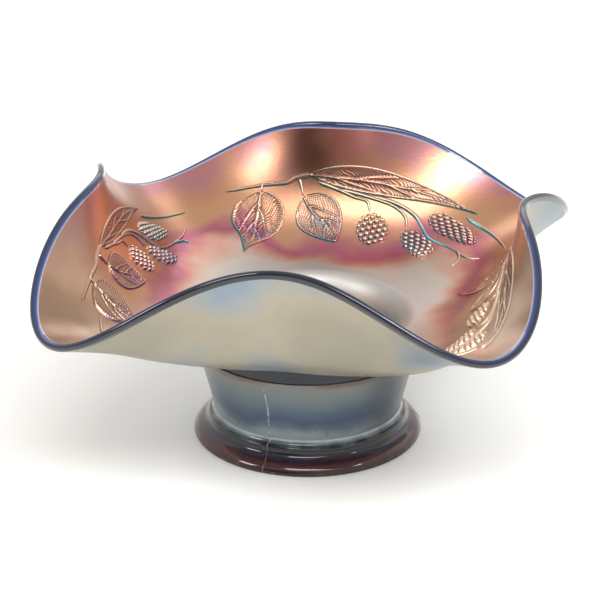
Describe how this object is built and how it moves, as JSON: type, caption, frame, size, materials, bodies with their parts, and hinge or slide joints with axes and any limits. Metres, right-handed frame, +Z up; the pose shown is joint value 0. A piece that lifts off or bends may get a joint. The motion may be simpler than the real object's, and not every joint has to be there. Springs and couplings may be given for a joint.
{
  "type": "footed ruffled glass bowl",
  "caption": "Footed glass bowl with a ruffled brim over a hollow collar, metallic lustre inside, raised berry and leaf sprays, and a bare dark rim.",
  "frame": {"origin": "middle of the base, on the plane that the foot stands on", "axes": "+Z up; -Y towards the front, where one fold of the brim stands a little to the left; +X to the right"},
  "size_m": [0.1581, 0.1571, 0.0768],
  "materials": {
    "brim_lustre": "copper-coloured metallic lustre on pressed glass, cream and pale blue outside",
    "spray_lustre": "copper and rose metallic lustre over raised relief",
    "cobalt_glass": "dark cobalt glass, fire-polished",
    "collar_lustre": "thin olive and slate lustre on dark glass",
    "foot_glass": "dark glass with a thin plum and blue lustre, glossy",
    "seam_glass": "fine mould line catching the light"
  },
  "bodies": {
    "root": {"foot_ring": "foot_glass", "well_floor": "cobalt_glass", "collar_wall": "collar_lustre", "neck": "cobalt_glass", "brim": "brim_lustre", "rim_edge": "cobalt_glass", "mould_seams": "seam_glass", "right_spray_leaves": "spray_lustre", "right_spray_berries": "spray_lustre", "right_spray_stems": "spray_lustre", "back_spray_leaves": "spray_lustre", "back_spray_berries": "spray_lustre", "back_spray_stems": "spray_lustre", "left_spray_leaves": "spray_lustre", "left_spray_berries": "spray_lustre", "left_spray_stems": "spray_lustre", "front_spray_leaves": "spray_lustre", "front_spray_berries": "spray_lustre", "front_spray_stems": "spray_lustre"}
  },
  "joints": []
}
